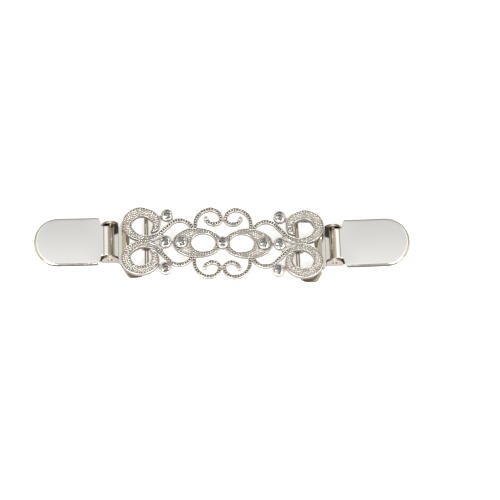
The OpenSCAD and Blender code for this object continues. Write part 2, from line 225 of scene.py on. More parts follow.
def combined(first, others, operation="UNION"):
    """One solid from many that overlap, as solder makes one of them."""
    for other in others:
        cut = first.modifiers.new("join", "BOOLEAN")
        cut.operation = operation
        cut.solver = "MANIFOLD"
        cut.object = other
        settled(first)
        bpy.data.objects.remove(other)
    return first


def rounded(thing, width, angle):
    """Rounds the edges that turn by more than the angle in degrees, over a width in millimetres."""
    bevel = thing.modifiers.new("round", "BEVEL")
    bevel.width = width * MM
    bevel.segments = 2
    bevel.limit_method = "ANGLE"
    bevel.angle_limit = math.radians(angle)
    return settled(thing)


def finished(thing, name, material, body, smooth):
    """Names a piece, smooths it below an angle in degrees, and hands it to the body that it moves with."""
    thing.name = thing.data.name = name
    thing.data.polygons.foreach_set("use_smooth", [smooth > 0] * len(thing.data.polygons))
    if smooth:
        thing.data.set_sharp_from_angle(angle=math.radians(smooth))
    if material:
        thing.data.materials.clear()
        thing.data.materials.append(material)
    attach(thing, body)


def loft(rings, closed=False):
    """A solid through rings of equal length, capped at its ends or closed into a loop."""
    n, k = len(rings), len(rings[0])
    points = [p for ring in rings for p in ring]
    last = n if closed else n - 1
    faces = [(i * k + j, i * k + (j + 1) % k, (i + 1) % n * k + (j + 1) % k, (i + 1) % n * k + j)
             for i in range(last) for j in range(k)]
    if not closed:
        faces += [tuple(range(k)), tuple((n - 1) * k + j for j in reversed(range(k)))]
    return shell(points, faces)


def turned(profile, x, y, sides=48):
    """A solid turned on an upright axis at x, y. The profile is (radius, height) from the foot to the top."""
    rings = [[(x + r * math.cos(2 * math.pi * k / sides), y + r * math.sin(2 * math.pi * k / sides), z)
              for k in range(sides)] for r, z in profile]
    return loft(rings)


# ---- The casting's sizes and plan, as in the part's own source ----

# Half of the bridge's height on the plan
HALF_H = 13.0
# A slim band's width, the width of the rail along its edge, and how far a floor lies below its rails
BAND_W, RAIL_W, RAIL_H = 1.5, 0.42, 0.35
# The fat scroll's full width, and how far it stands above the slim bands
SCROLL_W, SCROLL_RISE = 3.6, 0.7
# Heights of the casting's back, of the slim bands and of their floors, and of the scrolls
BACK_Z, BAND_Z = 3.85, 5.45
FIELD_Z = BAND_Z - RAIL_H
SCROLL_Z = BAND_Z + SCROLL_RISE
# Heights in a setting: its rim, the stone's girdle and the seat
RIM_Z, GIRDLE_Z, WELL_FLOOR = 6.05, 5.9, 4.45
STONE_R, WELL_R, CUP_R = 1.5, 1.6, 2.0
# The clip's bar, and the bore, outside and width of the hook round it
BAR_X, BAR_Z, BORE_R, HOOK_R, HOOK_W = 26.104, 2.05, 1.05, 2.0, 3.6
# A pointed oval and its hole: middle, half length and half width
ALMOND = (-0.673 * HALF_H, 0.654 * HALF_H, 0.415 * HALF_H)
HOLE = (-0.5115 * HALF_H, 0.315 * HALF_H, 0.25 * HALF_H)
# Places of the stones, and ends of the ties that the scrolls, limbs and cups are cast together with, in half heights
STONES = [(0, 0), (-1.1, 0), (1.1, 0), (-1.523, 0), (1.523, 0),
          (-1.496, 0.75), (1.496, 0.75), (-1.496, -0.75), (1.496, -0.75)]
TIES = [((-1.938, 0.027), (-1.569, 0.188)), ((-1.523, 0), (-1.71, 0.216)), ((-1.77, 0.64), (-1.496, 0.75)),
        ((-1.496, 0.75), (-1.4, 0.55))]
# Half width and top of a tie, and reach and top of the tie that spreads over a hook
TIE_HALF, TIE_TOP = 0.7, FIELD_Z + 0.05
HOOK_TIE, HOOK_TIE_TOP = 1.8, 5.05

# Rows of a band: radius, turn in degrees and straight run before it, in half heights, and the width at its end
CURL_START = (-0.738, 0.354, 90)
CURL = [(0.408, -90, 0.185, BAND_W), (0.269, -90, 0, BAND_W), (0.107, -45, 0, BAND_W),
        (0.228, -45, 0, BAND_W), (0.212, -75, 0, BAND_W)]
LIMB_START = (-0.8, 0.3615, 105)
LIMB = [(0.358, 120, 0, BAND_W), (0.588, -45, 0.376, 0.64 * SCROLL_W)]
SCROLL = [(0.533, -45, 0, 0.8 * SCROLL_W), (0.328, -45, 0, 0.97 * SCROLL_W), (0.331, -45, 0, SCROLL_W),
          (0.4, -45, 0, 0.94 * SCROLL_W), (0.464, -45, 0, 0.89 * SCROLL_W), (0.259, -45, 0, 0.8 * SCROLL_W),
          (0.285, -30, 0, 0.66 * SCROLL_W), (0.285, -30, 0, 0.12 * SCROLL_W)]

# Steps along a band: degrees of an arc, and length of a straight run
ARC_STEP, STRAIGHT_STEP = 5, 0.4


def band_path(start, rows):
    """Points (x, y, heading in radians, half width, run from the start) along a band."""
    x, y, heading = start[0] * HALF_H, start[1] * HALF_H, math.radians(start[2])
    half, run = BAND_W / 2, 0.0
    path = [(x, y, heading, half, run)]
    for radius, turn, straight, width in rows:
        pieces = math.ceil(straight * HALF_H / STRAIGHT_STEP)
        for _ in range(pieces):
            length = straight * HALF_H / pieces
            x, y = x + length * math.cos(heading), y + length * math.sin(heading)
            run += length
            path.append((x, y, heading, half, run))
        radius, sign = radius * HALF_H, math.copysign(1, turn)
        steps = max(1, math.ceil(abs(turn) / ARC_STEP))
        bend, first = math.radians(turn) / steps, half
        for k in range(1, steps + 1):
            x += sign * radius * (math.sin(heading + bend) - math.sin(heading))
            y -= sign * radius * (math.cos(heading + bend) - math.cos(heading))
            heading, half = heading + bend, first + (width / 2 - first) * k / steps
            run += radius * abs(bend)
            path.append((x, y, heading, half, run))
    return path


curl_path = band_path(CURL_START, CURL)
limb_path = band_path(LIMB_START, LIMB)
# The height at which a curl comes nearest to its neighbour
CURL_MEET = max(curl_path, key=lambda p: p[0] + p[3] * abs(math.sin(p[2])))[1]
whole_path = band_path(LIMB_START, LIMB + SCROLL)
SCROLL_RUN = limb_path[-1][4]

# The slope between limb and scroll: how far before the scroll it starts, and its length
SLOPE_BEFORE, SLOPE = 1.0, 2.4


def band_top(run):
    """The band's top rises from the slim limb to the fat scroll in a short slope."""
    t = min(1, max(0, (run - SCROLL_RUN + SLOPE_BEFORE) / SLOPE))
    return BAND_Z + SCROLL_RISE * t * t * (3 - 2 * t)


def railed(half, top):
    """Cross-section (across, height) of a band: upright sides, two round rails and a sunk field."""
    rail = min(RAIL_W, 0.8 * half)
    drop = RAIL_H * rail / RAIL_W
    left = [(-half + 0.12, BACK_Z), (-half, BACK_Z + 0.14)]
    left += [(-half + rail / 2 - rail / 2 * math.cos(math.radians(a)), top - drop + drop * math.sin(math.radians(a)))
             for a in (0, 35, 65, 90, 115, 145, 180)]
    return left + [(-x, z) for x, z in reversed(left)]


def plain(half, top):
    """Cross-section of a plain bar with rounded upper edges."""
    left = [(-half + 0.1, BACK_Z), (-half, BACK_Z + 0.1), (-half, top - 0.3), (-half + 0.1, top - 0.08),
            (-half + 0.35, top)]
    return left + [(-x, z) for x, z in reversed(left)]


def swept(path, flip_x, flip_y, top_at):
    """A band along a path, with its top at the height that top_at gives for the run."""
    rings = []
    for x, y, heading, half, run in path:
        nx, ny = -math.sin(heading), math.cos(heading)
        rings.append([(flip_x * (x + across * nx), flip_y * (y + across * ny), z)
                      for across, z in railed(half, top_at(run))])
    return loft(rings)


# The four quarters of the bridge, as flips of x and y
FOUR = [(1, 1), (-1, 1), (1, -1), (-1, -1)]


def almond_ring(side):
    """A pointed oval, railed like a band. Its hole is nearer the middle stone, so its field is broad further out."""
    rings, steps = [], 120
    for k in range(steps):
        t = 2 * math.pi * k / steps
        outer = Vector((ALMOND[0] + ALMOND[1] * math.cos(t), ALMOND[2] * math.sin(t)))
        inner = Vector((HOLE[0] + HOLE[1] * math.cos(t), HOLE[2] * math.sin(t)))
        middle, across = (outer + inner) / 2, (inner - outer)
        half = across.length / 2
        across.normalize()
        rings.append([(side * (middle.x + a * across.x), middle.y + a * across.y, z) for a, z in railed(half, BAND_Z)])
    return loft(rings, closed=True)


def cup(x, y):
    """A stone's setting: an upright collar whose thin rim is turned over the stone."""
    return turned([(CUP_R, BACK_Z + 0.1), (CUP_R + 0.18, BACK_Z + 0.25), (CUP_R + 0.18, RIM_Z - 0.5),
                   (CUP_R + 0.14, RIM_Z - 0.25), (CUP_R + 0.04, RIM_Z - 0.08), (CUP_R - 0.1, RIM_Z),
                   (CUP_R - 0.5, RIM_Z)], x, y)


def well(x, y):
    """What is cut out of a setting for its stone, a little wider at the rim."""
    return turned([(WELL_R, WELL_FLOOR), (WELL_R, RIM_Z - 0.12), (WELL_R + 0.05, RIM_Z - 0.03),
                   (WELL_R + 0.12, RIM_Z + 0.05)], x, y)


def tip_knob(flip_x, flip_y):
    """Each middle curl ends in a small round knob."""
    x, y = curl_path[-1][0] * flip_x, curl_path[-1][1] * flip_y
    return turned([(0.72, BACK_Z), (0.86, BACK_Z + 0.15), (0.86, BAND_Z - 0.3), (0.78, BAND_Z - 0.1), (0.6, BAND_Z),
                   (0.42, BAND_Z - 0.02), (0.36, FIELD_Z + 0.05)], x, y, 28)


def hook(side):
    """A cast hook that closes round the bar, down one side and up the other. Its prong stops short of the root."""
    def ring_point(radius, angle):
        return side * BAR_X + radius * math.cos(math.radians(angle)), BAR_Z + radius * math.sin(math.radians(angle))
    outer = [ring_point(HOOK_R, a) for a in range(18, -312, -12)]
    inner = [ring_point(BORE_R, a) for a in range(-312, 30, 12)]
    rings = [[(x, y, z) for x, z in outer + inner] for y in (-HOOK_W / 2, HOOK_W / 2)]
    return rounded(loft(rings), width=0.18, angle=50)


def hook_root(side):
    """The block that carries the hook on the bridge's back, a little wider at the top."""
    x, low, high = side * BAR_X, BAR_Z + 1.1, BACK_Z + 0.2
    rings = [[(x - 1.4, y, low), (x + 1.4, y, low), (x + 1.5, y, high), (x - 1.5, y, high)]
             for y in (-HOOK_W / 2, HOOK_W / 2)]
    return rounded(loft(rings), width=0.15, angle=50)


def bar_between(a, b, half, top):
    """A plain bar between two places on the plan."""
    a, b = Vector(a), Vector(b)
    along = (b - a).normalized()
    nx, ny = -along.y, along.x
    return loft([[(p.x + s * nx, p.y + s * ny, z) for s, z in plain(half, top)] for p in (a, b)])


solids = [swept(curl_path, fx, fy, lambda run: BAND_Z) for fx, fy in FOUR]
solids += [swept(whole_path, fx, fy, band_top) for fx, fy in FOUR]
solids += [tip_knob(fx, fy) for fx, fy in FOUR]
solids += [bar_between((fx * a[0] * HALF_H, fy * a[1] * HALF_H), (fx * b[0] * HALF_H, fy * b[1] * HALF_H),
                       TIE_HALF, TIE_TOP) for fx, fy in FOUR for a, b in TIES]
for side in (-1, 1):
    # The solder between a pointed oval and the end cup beside it, and the tie over the hook
    tip = side * (ALMOND[0] - ALMOND[1])
    solids += [bar_between((tip + side * 0.4, 0), (tip - side * 0.9, 0), 0.42, TIE_TOP)]
    solids += [almond_ring(side),
               bar_between((side * BAR_X - HOOK_TIE, 0), (side * BAR_X + HOOK_TIE, 0), TIE_HALF, HOOK_TIE_TOP),
               hook(side), hook_root(side)]
# The solder between the middle curls
solids += [bar_between((-0.8, y * CURL_MEET), (0.8, y * CURL_MEET), 0.55, BAND_Z - 0.1) for y in (-1, 1)]
solids += [cup(x * HALF_H, y * HALF_H) for x, y in STONES]
casting = combined(solids[0], solids[1:])
combined(casting, [well(x * HALF_H, y * HALF_H) for x, y in STONES], "DIFFERENCE")
finished(casting, "filigree_casting", cast_silver, "bridge", smooth=42)

# The floors, with shade painted on them: grey in the scrolls, in the ovals and along the strip where the scrolls meet,
# dark in the slim bands
DARK_FLOOR, GREY_FLOOR = 1, 2
CROSSING_HALF = 2.2
casting.data.materials.append(dark_silver)
casting.data.materials.append(grey_silver)
for face in casting.data.polygons:
    x, y, height = face.center / MM
    in_oval = ((abs(x) + ALMOND[0]) / ALMOND[1]) ** 2 + (y / ALMOND[2]) ** 2 < 1
    if face.normal.z > 0.9 and abs(height - SCROLL_Z + RAIL_H) < 0.04:
        face.material_index = GREY_FLOOR
    elif face.normal.z > 0.9 and abs(height - FIELD_Z) < 0.03:
        face.material_index = GREY_FLOOR if in_oval or abs(y) < CROSSING_HALF else DARK_FLOOR
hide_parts("filigree")


# ---- Milgrain beads and the grained field ----

def many(name, subdivisions, places):
    """Joins a ball at each place (a matrix in millimetres), squeezed and turned as the place says."""
    points, faces = ball(subdivisions)
    all_points, all_faces = [], []
    for place in places:
        base = len(all_points)
        all_points += [place @ p for p in points]
        all_faces += [tuple(base + i for i in f) for f in faces]
    mesh = bpy.data.meshes.new(name)
    mesh.from_pydata([p * MM for p in all_points], [], all_faces)
    finished(new_object(name, mesh), name, cast_silver, "bridge", smooth=80)


def ball(subdivisions):
    """The points and faces of a ball of radius 1."""
    made = bmesh.new()
    bmesh.ops.create_icosphere(made, subdivisions=subdivisions, radius=1)
    made.verts.index_update()
    template = ([v.co.copy() for v in made.verts], [tuple(v.index for v in f.verts) for f in made.faces])
    made.free()
    return template


def spots(points, pitch):
    """Evenly spaced (x, y, heading) along a polyline, ends half a pitch in."""
    runs = [0.0]
    for a, b in zip(points, points[1:]):
        runs.append(runs[-1] + math.dist(a, b))
    count = max(1, round(runs[-1] / pitch))
    found, i = [], 0
    for k in range(count):
        want = (k + 0.5) * runs[-1] / count
        while runs[i + 1] < want:
            i += 1
        t = (want - runs[i]) / (runs[i + 1] - runs[i])
        a, b = points[i], points[i + 1]
        found.append((a[0] + (b[0] - a[0]) * t, a[1] + (b[1] - a[1]) * t, math.atan2(b[1] - a[1], b[0] - a[0])))
    return found


def beside(path, side, inset):
    """The line inside one edge of a band, at the given inset from it."""
    return [(x - side * (half - inset) * math.sin(h), y + side * (half - inset) * math.cos(h))
            for x, y, h, half, run in path]


def floor_at(path, x, y):
    """The height of a band's sunk floor at the point of its path that is nearest to x, y."""
    near = min(path, key=lambda p: math.hypot(p[0] - x, p[1] - y))
    return band_top(near[4]) - RAIL_H


def clear_of_cups(x, y, gap):
    """Whether x, y is off every setting, by the gap."""
    return all(math.hypot(x - sx * HALF_H, y - sy * HALF_H) > CUP_R + gap for sx, sy in STONES)


# Beads: their pitch, half height, and half length and width in a slim band, a little wider in the curls
BEAD_PITCH, BEAD_H, BEAD_L, BEAD_W, CURL_BEAD_W = 0.92, 0.3, 0.29, 0.4, 0.42
# Radius of a round bead, and its inset from the edge of a scroll and of an oval
BALL_R, SCROLL_INSET, OVAL_INSET = 0.31, 0.72, 0.74
# How far the middles of the beads lie above the floor: slim ones and round ones
BEAD_UP, BALL_UP = 0.1, 0.06
# Half width from which a band carries two rows of beads, and under which it carries none
TWO_ROWS, NO_ROW = 1.05, 0.5
# A run inside the wide part of the scroll. The slim limb is before it, the tail of the scroll after it
WIDE_RUN = SCROLL_RUN + 5
# Seven larger beads over the joint of the two scrolls: middle, pitch, radius, height, and height of the end two
JOINT_X, JOINT_PITCH, JOINT_R, JOINT_Z, JOINT_END_Z = 27.2, 0.74, 0.36, 5.98, 5.4
bead_places = []


def put_bead(x, y, z, heading, along, across):
    """A bead in each of the four quarters of the bridge."""
    for fx, fy in FOUR:
        turn = Matrix.Rotation(fx * fy * heading, 4, "Z")
        bead_places.append(Matrix.Translation((fx * x, fy * y, z)) @ turn @ Matrix.Diagonal((along, across, BEAD_H, 1)))


def put_ball(x, y, z, radius):
    """One round bead."""
    bead_places.append(Matrix.Translation((x, y, z)) @ Matrix.Scale(radius, 4))


for x, y, h in spots([p[:2] for p in curl_path], BEAD_PITCH):
    put_bead(x, y, FIELD_Z + BEAD_UP, h, BEAD_L, CURL_BEAD_W)
slim_part = [p for p in whole_path if p[3] < TWO_ROWS and p[4] < WIDE_RUN]
tail_part = [p for p in whole_path if NO_ROW < p[3] < TWO_ROWS and p[4] > WIDE_RUN]
wide_part = [p for p in whole_path if p[3] >= TWO_ROWS]
for part in (slim_part, tail_part):
    for x, y, h in spots([p[:2] for p in part], BEAD_PITCH):
        if clear_of_cups(x, y, 0.1):
            put_bead(x, y, floor_at(part, x, y) + BEAD_UP, h, BEAD_L, BEAD_W)
for side in (1, -1):
    for x, y, h in spots(beside(wide_part, side, SCROLL_INSET), BEAD_PITCH):
        if clear_of_cups(x, y, 0.1):
            put_bead(x, y, floor_at(wide_part, x, y) + BALL_UP, h, BALL_R, BALL_R)
for side in (-1, 1):
    for centre, a, b in ((ALMOND[0], ALMOND[1] - OVAL_INSET, ALMOND[2] - OVAL_INSET),
                         (HOLE[0], HOLE[1] + OVAL_INSET, HOLE[2] + OVAL_INSET)):
        loop = [(side * (centre + a * math.cos(math.radians(k))), b * math.sin(math.radians(k)))
                for k in range(0, 361, 3)]
        for x, y, _ in spots(loop, BEAD_PITCH):
            if clear_of_cups(x, y, 0.15):
                put_ball(x, y, FIELD_Z + BALL_UP, BALL_R)
for side in (-1, 1):
    for k in range(-3, 4):
        put_ball(side * (JOINT_X + JOINT_PITCH * k), 0, JOINT_Z if abs(k) < 3 else JOINT_END_Z, JOINT_R)
many("filigree_milgrain", 2, bead_places)

# Rice-shaped grains chased across the fields, each a little out of line
chance = random.Random(7)
grain_places = []
# Pitch of the grains, about half as large again as on the real casting so that they show, and pitch of their rows
GRAIN = 0.74
GRAIN_ROW = GRAIN * 0.9
# How far each row lies to one side, and the next row to the other
STAGGER = 0.12
# Half length, width and height of a grain
RICE = (0.56, 0.42, 0.42)
# How far a grain's middle lies under the field: only a low cap stands out
GRAIN_SUNK = 0.24
# Share of the grains that are worn away
WORN = 0.08
# Room for the rails and bead rows: in a scroll and in an oval
SCROLL_MARGIN, OVAL_MARGIN = 1.0, 1.1
# The lean of the grains against the band, in radians, and how far one is off that and off its place
LEAN, ASKEW, ASTRAY = 0.8, 0.4, 0.05
# A grid of grains that is large enough for an oval
COLUMNS, ROWS = 40, 24


def put_grain(x, y, z, heading):
    """A grain a little off its place and heading, or none where it is worn away."""
    if chance.random() < WORN:
        return
    turn = Matrix.Rotation(heading + chance.uniform(-ASKEW, ASKEW), 4, "Z")
    x, y = x + chance.uniform(-ASTRAY, ASTRAY), y + chance.uniform(-ASTRAY, ASTRAY)
    grain_places.append(Matrix.Translation((x, y, z)) @ turn @ Matrix.Diagonal((*RICE, 1)))


for row, (x, y, h) in enumerate(spots([p[:2] for p in wide_part], GRAIN_ROW)):
    near = min(wide_part, key=lambda p: math.hypot(p[0] - x, p[1] - y))
    free = near[3] - SCROLL_MARGIN
    if free < 0.1:
        continue
    count = int(2 * free / GRAIN) + 1
    for k in range(count):
        across = (k - (count - 1) / 2) * GRAIN + (STAGGER if row % 2 else -STAGGER)
        gx, gy = x - across * math.sin(h), y + across * math.cos(h)
        for fx, fy in FOUR:
            if clear_of_cups(gx, gy, 0.1):
                put_grain(fx * gx, fy * gy, band_top(near[4]) - RAIL_H - GRAIN_SUNK, fx * fy * (h + LEAN))
for side in (-1, 1):
    for i in range(COLUMNS):
        for j in range(ROWS):
            x = ALMOND[0] - ALMOND[1] + i * GRAIN_ROW
            y = (j - ROWS / 2 + (0.5 if i % 2 else 0)) * GRAIN_ROW
            outer = math.hypot((x - ALMOND[0]) / (ALMOND[1] - OVAL_MARGIN), y / (ALMOND[2] - OVAL_MARGIN))
            inner = math.hypot((x - HOLE[0]) / (HOLE[1] + OVAL_MARGIN), y / (HOLE[2] + OVAL_MARGIN))
            if outer < 1 < inner and clear_of_cups(x, y, 0.12):
                put_grain(side * x, y, FIELD_Z - GRAIN_SUNK, LEAN * side)
many("filigree_grained_field", 1, grain_places)


# ---- Stones: round brilliants, foiled behind ----

# Heights on a stone: table, tips of the stars, foot of the mains, and the point. Half thickness of the girdle
TABLE_Z, STAR_Z, KEEL_Z, POINT_Z, EDGE = GIRDLE_Z + 0.6, GIRDLE_Z + 0.37, GIRDLE_Z - 1.0, GIRDLE_Z - 1.33, 0.03
# Each stone lies turned further than the one before, by this in radians
STONE_TURN = 0.37
FOILED = 1


def brilliant(x, y, turn):
    """Table, eight stars, eight kites and sixteen halves above the girdle, mains and halves below."""
    def ring(radius, z, shift, count=8):
        return [(x + radius * math.cos(2 * math.pi * (k + shift) / count + turn),
                 y + radius * math.sin(2 * math.pi * (k + shift) / count + turn), z) for k in range(count)]
    table, stars = ring(STONE_R * 0.54, TABLE_Z, 0), ring(STONE_R * 0.78, STAR_Z, 0.5)
    upper, lower = ring(STONE_R, GIRDLE_Z + EDGE, 0, 16), ring(STONE_R, GIRDLE_Z - EDGE, 0, 16)
    keel = ring(STONE_R * 0.3, KEEL_Z, 0.5)
    points = table + stars + upper + lower + keel + [(x, y, POINT_Z)]
    faces = [tuple(range(8))]
    for i in range(8):
        j, g = (i + 1) % 8, (2 * i + 2) % 16
        faces += [(i, 8 + i, j), (i, 8 + (i - 1) % 8, 16 + 2 * i, 8 + i), (8 + i, 16 + 2 * i, 16 + 2 * i + 1),
                  (8 + i, 16 + 2 * i + 1, 16 + g)]
    girdle = [(16 + k, 32 + k, 32 + (k + 1) % 16, 16 + (k + 1) % 16) for k in range(16)]
    below = []
    for i in range(8):
        g = (2 * i + 2) % 16
        below += [(48 + i, 32 + 2 * i + 1, 32 + 2 * i), (48 + i, 32 + g, 32 + 2 * i + 1),
                  (48 + i, 32 + 2 * i, 48 + (i - 1) % 8, 56)]
    return points, faces + girdle + below


for number, (sx, sy) in enumerate(STONES, 1):
    stone = shell(*brilliant(sx * HALF_H, sy * HALF_H, STONE_TURN * number))
    finished(stone, f"cut_stone_{number}", None, "bridge", smooth=0)
    stone.data.materials.append(crystal)
    stone.data.materials.append(foil)
    for face in stone.data.polygons:
        if face.center.z < (GIRDLE_Z - EDGE - 0.01) * MM:
            face.material_index = FOILED
    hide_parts(f"stone_{number}")


# ---- Levers: the pressed covers with their rolled noses, cheeks and pins ----

# A clip is drawn on a plan of its own, u outwards and v across it, and lies on the bridge at a slight angle
LEFT = (Matrix.Translation((-BAR_X - 0.25, 0.5, 0)) @ Matrix.Rotation(math.radians(2.4), 4, "Z")
        @ Matrix.Diagonal((-1, 1, 1, 1)))
RIGHT = Matrix.Translation((BAR_X - 0.25, -0.4, 0)) @ Matrix.Rotation(math.radians(3.6), 4, "Z")
SIDES = {"left": LEFT, "right": RIGHT}

SHEET = 0.8
# The hinge pin: its axis, radius, height of its dome, and how far it reaches through the ear
PIVOT_U, PIVOT_Z, PIN_R, PIN_DOME = 12.6, 4.1, 0.8, 0.62
# Half widths of the neck and of the cover, the cover's height, its far end, and the length of its round end
NECK, COVER, COVER_Z, COVER_TIP, COVER_ROUND = 5.65, 8.65, 5.7, 38.9, 8.3
PIN_REACH = NECK + 0.22 + SHEET + 0.3
# The curl of the nose, and the height and number of the teeth below it
CURL_U, CURL_R, CURL_Z, BITE_Z, TEETH = 14.2, 3.0, 2.7, 1.25, 9
TOOTHED_U = CURL_U - CURL_R
# Where the neck starts to widen, and where the cover has its full width
NECK_U, SHOULDER_U = 15.35, 16.65
# The rolled nose above the toothed edge: distance out, height and the direction that its face looks in
NOSE = [(0.0, 3.1, 178), (0.0, 3.5, 172), (0.12, 3.95, 155), (0.4, 4.37, 138), (0.75, 4.68, 130), (1.1, 4.95, 127),
        (1.6, 5.28, 122)]
CREASE_U = 14.65
# How far the cover's sides lie below its middle, and the length over which that comes
CROWN, CROWN_RUN = 0.3, 6
# The edge of the sheet: distance in from the edge and drop below the face, over the face and under it
EDGE_OVER = [(0.0, 0.42), (0.06, 0.22), (0.18, 0.09), (0.36, 0.02), (0.6, 0.0)]
EDGE_UNDER = [(0.6, 0.8), (0.3, 0.8), (0.1, 0.68)]
# The cover's own edge is turned down a little further
RIM_OVER = [(0.0, 1.3), (0.03, 0.5), (0.14, 0.22), (0.34, 0.06), (0.62, 0.0)]
RIM_UNDER = [(0.75, 0.8), (0.5, 1.0), (0.2, 1.45)]
# How far before the full width the turned-down edge starts, and the length over which it comes
RIM_BEFORE, RIM_RUN = 0.4, 0.6
# Places across the flat part of a row, from its middle out
ACROSS = [0.0, 0.2, 0.4, 0.6, 0.8, 0.93]


def row_positions(half, rim=1.0):
    """Places across a row, from the middle to the edge: (distance out, drop), over the sheet and back under it."""
    def mixed(plain_edge, turned_down):
        return [(a + (c - a) * rim, b + (d - b) * rim) for (a, b), (c, d) in zip(plain_edge, turned_down)]
    edge_over, edge_under = mixed(EDGE_OVER, RIM_OVER), mixed(EDGE_UNDER, RIM_UNDER)
    inner = half - max(edge_over[-1][0], edge_under[0][0])
    over = [(inner * s, 0.0) for s in ACROSS] + [(half - d, drop) for d, drop in reversed(edge_over)]
    under = [(half - d, drop) for d, drop in reversed(edge_under)] + [(inner * s, SHEET) for s in reversed(ACROSS)]
    return over, under


def lever_rows():
    """The sheet's outer face as rows (u, z, direction, half width) from the toothed edge to the round end."""
    rows = [(TOOTHED_U, z, 180.0, NECK) for z in (BITE_Z, 1.6, 2.1, CURL_Z)]
    rows += [(TOOTHED_U + out, z, slope, NECK) for out, z, slope in NOSE]
    # A flat strip that leans a little, then a scored crease, then the cover
    rows += [(CREASE_U - 1.4 + 1.2 * t, COVER_Z - 0.155 + 0.158 * t, 98.0 - 3 * t, NECK) for t in (0, 0.08, 0.92, 1)]
    rows += [(CREASE_U + out, COVER_Z - drop, 90.0, NECK)
             for out, drop in ((-0.09, 0.05), (0, 0.12), (0.12, 0.02), (0.22, 0))]
    # The shoulders widen in a soft curve, and the sides run straight from there
    for k in range(9):
        t = k / 8
        rows.append((NECK_U + (SHOULDER_U - NECK_U) * t, COVER_Z, 90.0,
                     NECK + (COVER - NECK) * (t * t * (3 - 2 * t)) ** 0.8))
    rows += [(SHOULDER_U + 0.5 + (COVER_TIP - COVER_ROUND - SHOULDER_U - 0.5) * k / 12, COVER_Z, 90.0, COVER)
             for k in range(13)]
    return rows


def lever_sheet():
    """The bent sheet with its rounded edge. Past the straight sides the rows fan round the end."""
    points, rings = [], []

    def place(u, z, direction, v, drop, bow):
        a = math.radians(direction)
        points.append((u - drop * math.cos(a), v, z - drop * math.sin(a) - bow))
        return len(points) - 1

    for u, z, direction, half in lever_rows():
        over, under = row_positions(half, min(1.0, max(0.0, (u - SHOULDER_U + RIM_BEFORE) / RIM_RUN)))
        line = over + under
        share = min(1.0, max(0.0, (u - NECK_U) / CROWN_RUN)) if direction == 90 else 0.0
        loop = []
        for side in (1, -1):
            part = line if side == 1 else list(reversed(line))[1:-1]
            for v, drop in part:
                loop.append(place(u, z, direction, side * v, drop, CROWN * share * (v / half) ** 2))
        rings.append(loop)
    k = len(rings[0])
    faces = [(a[j], a[(j + 1) % k], b[(j + 1) % k], b[j]) for a, b in zip(rings, rings[1:]) for j in range(k)]
    faces.append(tuple(rings[0]))
    # The round end: arcs that fan from the last straight row's middle
    centre_u, steps = COVER_TIP - COVER_ROUND, 22
    over, under = row_positions(COVER)
    last, count = rings[-1], len(over) + len(under)
    previous = last[:count]
    other_side = [last[0]] + list(reversed(last[count:])) + [last[count - 1]]
    for step in range(1, steps + 1):
        angle = math.pi / 2 - math.pi * step / steps
        if step == steps:
            current = other_side
        else:
            current = [last[0]]
            for v, drop in (over + under)[1:-1]:
                share = v / COVER
                current.append(place(centre_u + COVER_ROUND * share * math.cos(angle), COVER_Z, 90.0,
                                     COVER * share * math.sin(angle), drop, CROWN * share ** 2))
            current.append(last[count - 1])
        for j in range(count - 1):
            face = tuple(dict.fromkeys((previous[j], previous[j + 1], current[j + 1], current[j])))
            if len(face) > 2:
                faces.append(face)
        previous = current
    return points, faces


def placed(thing, where):
    """Takes a piece from the clip's own plan to its place, with its faces still outwards where that mirrors it."""
    thing.data.transform(Matrix.Scale(MM, 4) @ where @ Matrix.Scale(1 / MM, 4))
    if where.determinant() < 0:
        thing.data.flip_normals()


def cheek(side):
    """The wall that closes one side of the rolled nose."""
    r = CURL_R - 0.4
    outline = [(CURL_U + r * math.cos(math.radians(a)), CURL_Z + r * math.sin(math.radians(a)))
               for a in range(90, 181, 9)]
    outline += [(CURL_U + 0.9, CURL_Z), (CURL_U + 0.9, CURL_Z + r)]
    walls = sorted((side * NECK, side * (NECK - SHEET)))
    return rounded(loft([[(u, v, z) for u, z in outline] for v in walls]), width=0.12, angle=30)


def hinge_pin(side):
    """A short pin with a domed head."""
    dome_foot = PIN_REACH - PIN_DOME
    profile = [(PIN_R, NECK - 0.5), (PIN_R, dome_foot)]
    profile += [(PIN_R * math.cos(math.radians(a)), dome_foot + PIN_DOME * math.sin(math.radians(a)))
                for a in (20, 40, 60, 80)]
    rings = [[(PIVOT_U + r * math.cos(2 * math.pi * k / 32), side * v, PIVOT_Z + r * math.sin(2 * math.pi * k / 32))
              for k in range(32)] for r, v in profile]
    return loft(rings)


def tooth_gaps():
    """Three-sided cuts across the lever's gripping edge, one between every two teeth."""
    pitch = 2 * NECK / TEETH
    cuts = []
    for k in range(1, TEETH):
        middle = (k - TEETH / 2) * pitch
        notch = [(middle - 0.45 * pitch, BITE_Z - 0.1), (middle + 0.45 * pitch, BITE_Z - 0.1), (middle, BITE_Z + 0.5)]
        cuts.append(loft([[(u, v, z) for v, z in notch] for u in (TOOTHED_U - 1, TOOTHED_U + 2)]))
    return cuts


# Second material of the levers and stampings: the sheared edge, darker as painted shade as well
SHEARED_AND_SHADED = 1

